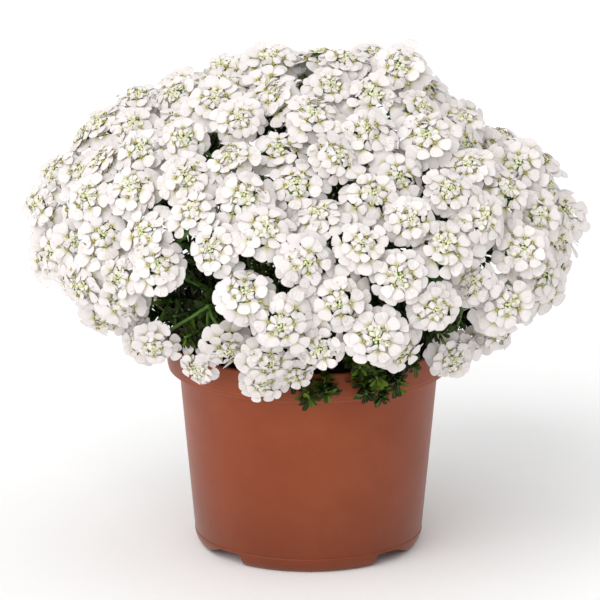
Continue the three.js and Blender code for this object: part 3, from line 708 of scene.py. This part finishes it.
OVARY_HEIGHT, ANTHER_REACH, ANTHER_HEIGHT, FIRST_ANTHER, ANTHER_SWAY = 0.5, 0.85, 1.2, 0.6, 0.3
ANTHER_HEIGHTS = (-0.2, 0.3)
# a floret's petal length, petal width, angle between the large petals, lift and number of anthers
OUTER_FLORET, OUTER_KINDS = (10.4, 9.6, 0.57, 0, 2), 7
MIDDLE_FLORET, MIDDLE_KINDS = (9.2, 8.6, 0.58, 0.04, 3), 6
YOUNG_FLORET, YOUNG_KINDS = (4.2, 3.9, 0.72, 0.34, 0), 4
# a ring's number of florets, radius, height and slope in degrees
YOUNG_RING = (3, 4.2, 3.2, 12)
MIDDLE_RING = (5, 6.9, 2.6, 12)
OUTER_RING = (8, 11.6, -1, 27)
REACHES, TURN_PLAY, RISE_PLAY, SLOPE_PLAY, TWIST_PLAY = (0.84, 1.16), 0.22, 1.1, 17, 0.25
FLORET_SIZES, PEDICEL_RADIUS = (0.9, 1.08), 0.45
BUDS, BUD_SIZES, BUD_SPACING, BUD_PLAY = (10, 14), (0.75, 1.1), 1.08, 0.25
BUD_HEIGHT, BUD_DOME, BUD_HEIGHT_PLAY = 5, 0.1, 0.4
UMBEL_HEIGHT, HEAD_STALK_TOP, HEAD_STALK_RADIUS = 1.2, 3.4, 1
HEAD_KINDS, HEAD_SEED = 16, 200
HEAD_TURN, BACK_TURN = 0.5, 0.5
STALK_GATHER, STALK_BOW, STALK_SIDES = -12, 0.1, 5
STALK_RADII = [1.5, 1.35, 1.2, 1.1]
KNOB_RADIUS, KNOB_FACES = 2.2, 20
PETAL, YOUNG_PETAL, BUD, ANTHER, PEDICEL, STALK = range(6)


def ball(radius, half_height, sides, rows):
    """A small smooth ball, flattened or drawn out along its axis"""
    bm = bmesh.new()
    bmesh.ops.create_uvsphere(bm, u_segments=sides, v_segments=rows, radius=1)
    bmesh.ops.scale(bm, vec=(radius, radius, half_height), verts=bm.verts)
    for face in bm.faces:
        face.smooth = True
    bm.loops.layers.uv.new("blade")
    return mesh_of("ball", bm)


def rod(bm, start, end, radius, material):
    """A thin straight stalk with three sides"""
    way = end - start
    turn = Vector((0, 0, 1)).rotation_difference(way).to_matrix().to_4x4()
    scale = Matrix.Diagonal((radius, radius, way.length, 1))
    add_copy(bm, rod_mesh, Matrix.Translation(start) @ turn @ scale, material)


rod_bm = bmesh.new()
bmesh.ops.create_cone(rod_bm, cap_ends=True, segments=3, radius1=0.75, radius2=1, depth=1,
                      matrix=Matrix.Translation((0, 0, 0.5)))
for face in rod_bm.faces:
    face.smooth = True
rod_bm.loops.layers.uv.new("blade")
rod_mesh = mesh_of("rod", rod_bm)

anther_mesh = ball(radius=0.76, half_height=0.85, sides=3, rows=3)
ovary_mesh = ball(radius=0.8, half_height=1.2, sides=4, rows=3)
bud_mesh = ball(radius=1.04, half_height=1.2, sides=5, rows=4)
# the close umbel of branching pedicels under the middle of a head, as one flat green cushion
umbel_mesh = ball(radius=7.6, half_height=1.8, sides=8, rows=3)


def floret(chooser, length, width, spread, openness, anthers, petal_material):
    """One floret at the origin, its large petals towards +Y, its face towards +Z"""
    bm = bmesh.new()
    grown = length > GROWN_LENGTH
    small = SMALL_SHARE if grown else YOUNG_SMALL_SHARE
    ways = [spread, -spread, math.pi - SMALL_SPREAD, math.pi + SMALL_SPREAD]
    for k, way in enumerate(ways):
        large = k < 2
        reach = length * (1 if large else small) * chooser.uniform(*LENGTHS)
        wide = width * (1 if large else small * SMALL_BREADTH) * chooser.uniform(*WIDTHS)
        bend = reach * chooser.uniform(*BENDS)
        cup = reach * chooser.uniform(*CUPS)
        if large and grown:
            mesh = blade(PETAL_PROFILE, reach, wide, PETAL_THICKNESS, bend, cup)
        else:
            mesh = blade(SMALL_PROFILE, reach, wide, SMALL_THICKNESS, bend, cup)
        lift = openness + (PETAL_LIFT if large else SMALL_LIFT) + chooser.uniform(*LIFTS)
        turn = Matrix.Rotation(way + chooser.uniform(-SWAY, SWAY), 4, "Z")
        tilt = Matrix.Rotation(lift, 4, "X") @ Matrix.Rotation(chooser.uniform(-ROLL, ROLL), 4, "Y")
        add_copy(bm, mesh, turn @ Matrix.Translation((0, CLAW, 0)) @ tilt, petal_material)
        bpy.data.meshes.remove(mesh)
    add_copy(bm, ovary_mesh, Matrix.Translation((0, 0, OVARY_HEIGHT)), BUD)
    for k in range(anthers):
        angle = k * 2 * math.pi / anthers + FIRST_ANTHER + chooser.uniform(-ANTHER_SWAY, ANTHER_SWAY)
        spot = polar(ANTHER_REACH, angle, ANTHER_HEIGHT + chooser.uniform(*ANTHER_HEIGHTS))
        add_copy(bm, anther_mesh, Matrix.Translation(spot), ANTHER)
    return mesh_of("floret", bm)


floret_draw = random.Random(11)
outer_florets = [floret(floret_draw, *OUTER_FLORET, PETAL) for _ in range(OUTER_KINDS)]
middle_florets = [floret(floret_draw, *MIDDLE_FLORET, PETAL) for _ in range(MIDDLE_KINDS)]
young_florets = [floret(floret_draw, *YOUNG_FLORET, YOUNG_PETAL) for _ in range(YOUNG_KINDS)]


def flower_head(seed):
    """One whole head of nominal size round the origin, facing +Z"""
    chooser = random.Random(seed)
    bm = bmesh.new()
    gather = Vector((0, 0, STALK_GATHER))
    rings = ((YOUNG_RING, young_florets), (MIDDLE_RING, middle_florets), (OUTER_RING, outer_florets))
    for (count, radius, rise, slope), kinds in rings:
        start = chooser.uniform(0, 2 * math.pi)
        for k in range(count):
            angle = start + (k + chooser.uniform(-TURN_PLAY, TURN_PLAY)) * 2 * math.pi / count
            spot = polar(radius * chooser.uniform(*REACHES), angle,
                         rise + chooser.uniform(-RISE_PLAY, RISE_PLAY))
            tilt = math.radians(slope + chooser.uniform(-SLOPE_PLAY, SLOPE_PLAY))
            twist = angle - math.pi / 2 + chooser.uniform(-TWIST_PLAY, TWIST_PLAY)
            turn = Matrix.Rotation(twist, 4, "Z")
            size = Matrix.Scale(chooser.uniform(*FLORET_SIZES), 4)
            matrix = Matrix.Translation(spot) @ turn @ Matrix.Rotation(-tilt, 4, "X") @ size
            add_copy(bm, chooser.choice(kinds), matrix)
            rod(bm, gather + Vector((0, 0, max(rise, 0))), spot, PEDICEL_RADIUS, PEDICEL)
    for k in range(chooser.randint(*BUDS)):
        radius = BUD_SPACING * math.sqrt(k) + chooser.uniform(-BUD_PLAY, BUD_PLAY)
        height = BUD_HEIGHT - BUD_DOME * radius ** 2 + chooser.uniform(-BUD_HEIGHT_PLAY, BUD_HEIGHT_PLAY)
        spot = polar(radius, k * GOLDEN_ANGLE, height)
        size = chooser.uniform(*BUD_SIZES)
        add_copy(bm, bud_mesh, Matrix.Translation(spot) @ Matrix.Scale(size, 4), BUD)
    add_copy(bm, umbel_mesh, Matrix.Translation((0, 0, UMBEL_HEIGHT)), STALK)
    rod(bm, gather, Vector((0, 0, HEAD_STALK_TOP)), HEAD_STALK_RADIUS, STALK)
    return mesh_of("head", bm)


def petal_material(name, base, white, shade):
    """A soft petal: greenish at its claw, white in its blade, with faint veins along it"""
    material, nodes, links, shader = shader_of(name, roughness=0.6, specular=0.25)
    coordinates = nodes.new("ShaderNodeTexCoord")
    split = nodes.new("ShaderNodeSeparateXYZ")
    links.new(coordinates.outputs["UV"], split.inputs["Vector"])
    along = ramp_node(nodes, links, split.outputs["Y"], [(0.02, base), (0.4, white)])
    stretch = nodes.new("ShaderNodeMapping")
    stretch.inputs["Scale"].default_value = (9, 1.2, 1)
    links.new(coordinates.outputs["UV"], stretch.inputs["Vector"])
    veins = noise_node(nodes, links, stretch.outputs["Vector"], scale=1.6, detail=2)
    blotches = noise_node(nodes, links, coordinates.outputs["Object"], scale=55, detail=2)
    tone = nodes.new("ShaderNodeMath")
    tone.operation = "ADD"
    links.new(veins, tone.inputs[0])
    links.new(blotches, tone.inputs[1])
    tint = ramp_node(nodes, links, tone.outputs["Value"], [(0.7, shade), (1.15, (1, 1, 1, 1))])
    links.new(multiplied(nodes, links, along, tint), shader.inputs["Base Color"])
    bump_node(nodes, links, shader, veins, distance=0.00012, strength=0.5)
    shader.inputs["Subsurface Weight"].default_value = 0.12
    shader.inputs["Subsurface Radius"].default_value = (1, 1, 0.8)
    shader.inputs["Subsurface Scale"].default_value = 0.0012
    return material


white_petal = petal_material("white_petal", srgb(188, 186, 124), srgb(229, 223, 221), srgb(232, 228, 221))
young_petal = petal_material("young_petal", srgb(198, 200, 138), srgb(229, 226, 209), srgb(230, 230, 212))
bud_green = mottled(
    "bud_green", [(0.3, srgb(176, 186, 112)), (0.5, srgb(222, 224, 178)), (0.7, srgb(236, 236, 210))],
    scale=420, roughness=0.55, grain_scale=1500, grain_depth=0.0002, specular=0.3)
anther_yellow = mottled(
    "anther_yellow", [(0.3, srgb(118, 98, 30)), (0.5, srgb(166, 146, 50)), (0.7, srgb(206, 192, 92))],
    scale=600, roughness=0.8, grain_scale=2500, grain_depth=0.0002, specular=0.2)
pedicel_green = mottled(
    "pedicel_green", [(0.3, srgb(126, 146, 74)), (0.5, srgb(160, 176, 104)), (0.7, srgb(192, 204, 142))],
    scale=300, roughness=0.6, grain_scale=1500, grain_depth=0.0002, specular=0.3)
head_meshes = [flower_head(HEAD_SEED + kind) for kind in range(HEAD_KINDS)]

for number, fork in enumerate(forks):
    spray_bm = bmesh.new()
    outward = spray_places[number][1]
    for k, (spot, facing, radius, twist) in enumerate(heads):
        nearest = min(range(SPRAYS), key=lambda s: (spot - spray_places[s][0]).length)
        if nearest != number:
            continue
        lean, _ = cross_axes(facing, draw(k, 8) * 2 * math.pi)
        away = Vector((spot.x, spot.y, 0)).normalized()
        facing = (facing + HEAD_TURN * draw(k, 9) * lean + BACK_TURN * max(0, away.y) * away).normalized()
        u, v = cross_axes(facing, twist)
        size = radius / HEAD_RADIUS
        turn = Matrix((u, v, facing)).transposed().to_4x4() @ Matrix.Scale(size, 4)
        add_copy(spray_bm, head_meshes[k % HEAD_KINDS], Matrix.Translation(spot) @ turn)
        foot = spot + facing * STALK_GATHER * size
        middle = fork.lerp(foot, 0.5) + (foot - fork).length * STALK_BOW * (outward - facing)
        stalk = curve_through(fork, middle, foot, len(STALK_RADII) - 1)
        tube(spray_bm, stalk, STALK_RADII, STALK_SIDES, STALK)
    bmesh.ops.create_icosphere(spray_bm, subdivisions=1, radius=KNOB_RADIUS, matrix=Matrix.Translation(fork))
    for face in spray_bm.faces[-KNOB_FACES:]:
        face.material_index = STALK
        face.smooth = True
    spray = placed(f"spray_blooms_{number + 1:02d}", spray_bm,
                   [white_petal, young_petal, bud_green, anther_yellow, pedicel_green, stem_green])
    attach(spray, "root")
    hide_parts(f"flower_spray_{number + 1:02d}")
for mesh in [*leaf_meshes, *outer_florets, *middle_florets, *young_florets, *head_meshes,
             rod_mesh, anther_mesh, ovary_mesh, bud_mesh, umbel_mesh]:
    bpy.data.meshes.remove(mesh)


# The stage: a wide pale floor that the pot stands on, a white room all round it, and one wide soft
# light from above, in front on the left.
FLOOR_HALF = 6
ROOM_STRENGTH = 0.86
SUN_FROM = Vector((-0.65, -1, 0.85))
SUN_STRENGTH, SUN_SPREAD = 1.7, math.radians(55)

floor_bm = bmesh.new()
bmesh.ops.create_grid(floor_bm, x_segments=1, y_segments=1, size=FLOOR_HALF)
floor_mesh = mesh_of("floor", floor_bm)
floor_mesh.materials.append(mottled(
    "floor_pale", [(0.3, (0.93, 0.93, 0.93, 1)), (0.7, (0.97, 0.97, 0.97, 1))],
    scale=3, roughness=0.8, grain_scale=400, grain_depth=0.00005, specular=0.2))
floor = bpy.data.objects.new("floor", floor_mesh)
bpy.context.scene.collection.objects.link(floor)

world = bpy.data.worlds.new("white_room")
world.use_nodes = True
world.node_tree.nodes["Background"].inputs["Color"].default_value = (1, 1, 1, 1)
world.node_tree.nodes["Background"].inputs["Strength"].default_value = ROOM_STRENGTH
bpy.context.scene.world = world
bpy.context.scene.view_settings.view_transform = "Standard"

sun_data = bpy.data.lights.new("window_light", "SUN")
sun_data.energy = SUN_STRENGTH
sun_data.angle = SUN_SPREAD
sun = bpy.data.objects.new("window_light", sun_data)
sun.rotation_euler = (-SUN_FROM).to_track_quat("-Z", "Y").to_euler()
bpy.context.scene.collection.objects.link(sun)
